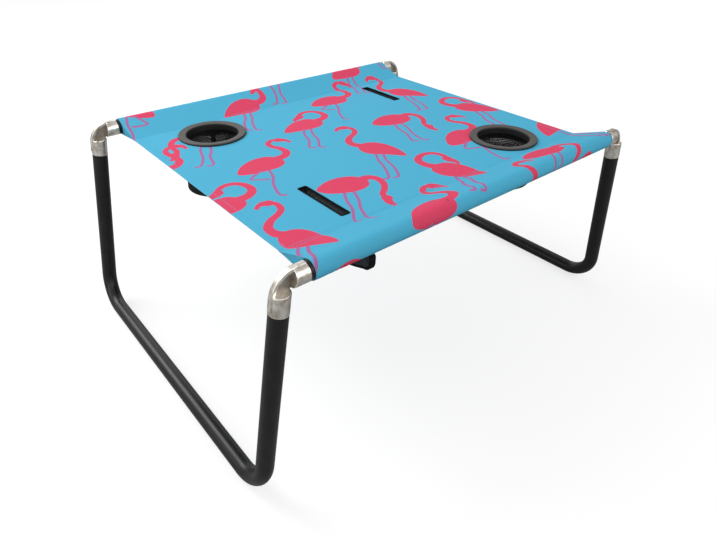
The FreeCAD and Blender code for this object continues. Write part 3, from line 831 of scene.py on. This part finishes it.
def bound_edge(name, centre):
    """Tape folded round the edge of a slot, its fold inside the opening."""
    top, low, fold = cloth_top + binding_thickness, cloth_bottom - binding_thickness, -binding_width
    over, under, cut = cloth_top + 0.02, cloth_bottom - 0.02, -slot_cut_inset - 0.15
    section = [(fold + 0.15, low + 0.15), (fold + 0.5, low), (-0.2, low), (0.0, low + 0.3), (-0.1, under),
               (cut, under), (cut, over), (-0.1, over), (0.0, top - 0.3), (-0.2, top), (fold + 0.5, top),
               (fold + 0.15, top - 0.15), (fold, (cloth_top + cloth_bottom) / 2)]
    loops = [slot_outline(centre, offset) for offset, _ in section]
    rings, uvs = [], []
    for station, run in enumerate(run_along(loops[0])):
        rings.append([(*loop[station], height) for loop, (_, height) in zip(loops, section)])
        uvs += [(run * MM, (offset + height) * MM) for offset, height in section]
    return skin(name, rings, tape, uvs, closed=True, flip=True, crease=60)


def pouch_bottom(y):
    """Depth of the pouch's lower edge at a place along it."""
    flat_half = pouch_half - pouch_corner
    if abs(y) <= flat_half:
        return pouch_depth - (pouch_depth - pouch_side) * (y / flat_half) ** 2
    return pouch_side - pouch_corner + math.sqrt(max(pouch_corner ** 2 - (abs(y) - flat_half) ** 2, 0))


def pouch_mouth(y):
    """Depth of the pouch's upper edge at a place along it."""
    return max(0.0, (abs(y) - pouch_mouth_half) / (pouch_half - pouch_mouth_half) * pouch_flare)


def pouch_half_width(depth):
    """Half width of the pouch at a depth: a funnel under the slot, then two panels close together."""
    return pouch_body_width / 2 + (pouch_mouth_width - pouch_body_width) / 2 * max(0.0, 1 - depth / pouch_funnel)


def pouch_panels(name, centre):
    """The pouch's two mesh panels, a little slack where they hang free."""
    edge, slack, inner = 0.6, 0.7, 0.8

    def inside(y, depth):
        mouth = pouch_mouth(y) + edge * (abs(y) > pouch_mouth_half)
        return abs(y) <= pouch_half and mouth <= depth <= pouch_bottom(y) - edge

    cells, faces = mesh_cells(2 * pouch_half, pouch_depth, pouch_pitch)
    flat = [(across - pouch_half, pouch_depth - up) for across, up in cells]
    kept = [face for face in faces if all(inside(*flat[i]) for i in face)]
    points, both = [], []
    for side in (-1, 1):
        first = len(points)
        for y, depth in flat:
            drawn_in = slack * math.sin(math.pi * min(depth / pouch_depth, 1))
            x = pouch_half_width(depth) - inner - drawn_in * math.cos(y / pouch_half * math.pi / 2)
            points.append((centre[0] + side * x, centre[1] + y, pouch_top - depth))
        both += [[first + i for i in face[::side]] for face in kept]
    return mesh_cloth(name, points, both, pouch_hole, pouch_knit_painted_light)


def pouch_outline(inset):
    """The pouch's edge from one end of its mouth to the other, drawn in by an inset, as (y, depth) points."""
    flat_half = pouch_half - pouch_corner
    lower = even_steps(0.0, flat_half, 3.0)
    lower += [flat_half + pouch_corner * math.sin(math.radians(turn)) for turn in range(10, 91, 10)]
    edge = [(y, pouch_mouth(y)) for y in even_steps(pouch_mouth_half, pouch_half, 5.0)]
    edge += [(y, pouch_bottom(y)) for y in lower[::-1] + [-y for y in lower[1:]]]
    edge += [(y, pouch_mouth(y)) for y in even_steps(-pouch_half, -pouch_mouth_half, 5.0)]
    edge = [p for i, p in enumerate(edge) if i == 0 or math.dist(p, edge[i - 1]) > 0.01]
    return [(y + left[0] * inset, depth + left[1] * inset) for (y, depth), left in zip(edge, left_of(edge))]


def pouch_tape(name, centre):
    """Tape folded over the pouch's edge all round, which closes its two panels together."""
    depth_in, rounding = 4.0, 0.5
    ring_insets = [(1, depth_in), (1, rounding), (1 - 0.2, 0.0), (-1 + 0.2, 0.0), (-1, rounding), (-1, depth_in)]
    loops = [pouch_outline(inset) for _, inset in ring_insets]
    rings, uvs = [], []
    for station, run in enumerate(run_along(loops[0])):
        half = pouch_half_width(loops[2][station][1])
        rings.append([(centre[0] + share * half, centre[1] + loop[station][0], pouch_top - loop[station][1])
                      for (share, _), loop in zip(ring_insets, loops)])
        uvs += [(run * MM, (share * half + inset) * MM) for share, inset in ring_insets]
    return skin(name, rings, tape, uvs, flip=True)


def pouch_hem(name, centre, side):
    """Tape along the outside of one panel's top, by which the pouch is sewn under the slot."""
    depth_in, thickness, overlap, end_gap = 5.0, 0.5, 0.05, 1.0
    rings, uvs = [], []
    for y in even_steps(-pouch_mouth_half + end_gap, pouch_mouth_half - end_gap, 4.0):
        section = [(pouch_half_width(depth) + out, depth) for out, depth in
                   ((-overlap, 0.0), (thickness, 0.0), (thickness, depth_in), (-overlap, depth_in))]
        rings.append([(centre[0] + side * x, centre[1] + y, pouch_top - depth) for x, depth in section])
        uvs += [(y * MM, (x + depth) * MM) for x, depth in section]
    return skin(name, rings, tape, uvs, flip=side < 0)


for end, centre in slot_centres.items():
    edge = ride(bound_edge("slot_tape_" + end, centre), "black_tape", "slot_binding_" + end)
    panels = ride(pouch_panels("pouch_panels_" + end, centre), "black_mesh", "pocket_" + end)
    border = ride(pouch_tape("pouch_tape_" + end, centre), "black_tape")
    hems = [ride(pouch_hem("pouch_hem_%s_%s" % (end, name), centre, side), "black_tape")
            for name, side in (("left", -1), ("right", 1))]
    slot_inset, border_inset = 0.7, 2.6
    loop = slot_outline(centre, -slot_inset)
    rows = [[(x, y, cloth_top + binding_thickness) for x, y in loop + loop[:1]]]
    rows += [[(centre[0] + side * pouch_half_width(depth), centre[1] + y, pouch_top - depth)
              for y, depth in pouch_outline(border_inset)[2:-2]] for side in (-1, 1)]
    stitches = sew("pouch_stitches_" + end, rows, black_thread, pitch=3.0, size=(2.3, 0.5, 0.4))
    ride(stitches, "black_tape")
    panel_area = sum(pouch_bottom(y) - pouch_mouth(y) for y in even_steps(-pouch_half, pouch_half, 1.0)) * MM ** 2


# Studio: pale floor, soft light and the photograph's camera

def shown(add, mirrored):
    """1 where the camera sees a surface or sees it through cloth, and a share where metal mirrors it."""
    rays = add("ShaderNodeLightPath").outputs
    seen = add("ShaderNodeMath", {0: rays["Is Camera Ray"], 1: rays["Is Transmission Ray"]}, operation="ADD")
    return add("ShaderNodeMath", {0: rays["Is Glossy Ray"], 1: mirrored, 2: seen}, operation="MULTIPLY_ADD")


def studio_floor():
    """Matt pale floor, dimmer in the table's shadow; where seen, it is lifted to white, more so beyond the lamps."""
    near, far, near_lift, far_lift, mirrored = 0.7, 2.2, 0.72, 0.84, 0.12
    material, add, shader = new_material("matt_floor", Roughness=0.9, Base_Color=linear("#909090"),
                                         Emission_Color=linear("#FFFFFF"))
    place = add("ShaderNodeTexCoord").outputs["Object"]
    away = add("ShaderNodeVectorMath", {0: place}, operation="LENGTH").outputs["Value"]
    white = add("ShaderNodeMapRange", {"From Min": near, "From Max": far, "To Min": near_lift, "To Max": far_lift,
                                       "Value": away})
    lift = add("ShaderNodeMath", {0: shown(add, mirrored), 1: white}, operation="MULTIPLY")
    feed(shader, {"Emission Strength": lift})
    half, height = 20000.0, -0.2
    corners = [(x * half, y * half, height) for x, y in ((-1, -1), (1, -1), (1, 1), (-1, 1))]
    new_piece("floor", corners, [[0, 1, 2, 3]], material)


def studio_world():
    """White backdrop where it is seen; its light is darker towards the horizon, for bright metal to mirror."""
    world = bpy.data.worlds.new("studio")
    world.use_nodes = True
    scene.world = world
    tree = world.node_tree
    add, background = node_adder(tree), tree.nodes["Background"]
    sky = add("ShaderNodeTexCoord").outputs["Generated"]
    height = add("ShaderNodeSeparateXYZ", {"Vector": sky}).outputs["Z"]
    light = set_ramp(add("ShaderNodeValToRGB", {"Fac": height}), (0.0, "#5C5C5C"), (0.7, "#FFFFFF"))
    feed(background, {"Strength": 0.5, "Color": light})
    white = add("ShaderNodeBackground", {"Color": linear("#FFFFFF"), "Strength": 1.0})
    backdrop = add("ShaderNodeMixShader", {0: shown(add, 0.3), 1: background, 2: white})
    feed(tree.nodes["World Output"], {"Surface": backdrop})


def soft_light(name, place, aim, width, length, watts):
    """Soft box aimed at a point, its length leaning back from it."""
    lamp = bpy.data.lights.new(name, "AREA")
    lamp.shape = "RECTANGLE"
    lamp.size, lamp.size_y = width, length
    lamp.energy = watts
    light = bpy.data.objects.new(name, lamp)
    light.location = place
    light.rotation_euler = (Vector(aim) - Vector(place)).to_track_quat("-Z", "Y").to_euler()
    scene.collection.objects.link(light)


def photo_camera():
    """Camera at the photograph's place; its axes come from the fit to the table's frame."""
    data = bpy.data.cameras.new("photo_camera")
    data.sensor_width = 36.0
    data.lens = 27.87
    camera = bpy.data.objects.new("photo_camera", data)
    right = Vector((0.768395, -0.639927, 0.007922))
    down = Vector((-0.359406, -0.441733, -0.822009))
    ahead = Vector((0.529525, 0.628781, -0.569419))
    turn = Matrix((right, -down, -ahead)).transposed().to_4x4()
    camera.matrix_world = Matrix.Translation(Vector((-523.0, -625.1, 607.9)) * MM) @ turn
    scene.collection.objects.link(camera)
    scene.camera = camera


studio_floor()
studio_world()
# Lamps: key behind, strip for the glint on the left ground bar, fill in front, low side light on the sleeve ends
soft_light("key", place=(0.9, 1.9, 1.1), aim=(0.9, 0, 0.1), width=5.4, length=1.2, watts=18)
soft_light("strip", place=(-0.85, 1.3, 1.7), aim=(-0.4, -0.1, 0), width=0.9, length=1.5, watts=26)
soft_light("fill", place=(0.2, -1.8, 1.2), aim=(0, 0, 0.25), width=3.2, length=1.6, watts=25)
soft_light("side", place=(-2.0, 0.0, 0.85), aim=(-0.3, 0, 0.25), width=2.4, length=1.2, watts=12)
photo_camera()
scene.view_settings.view_transform = "Standard"
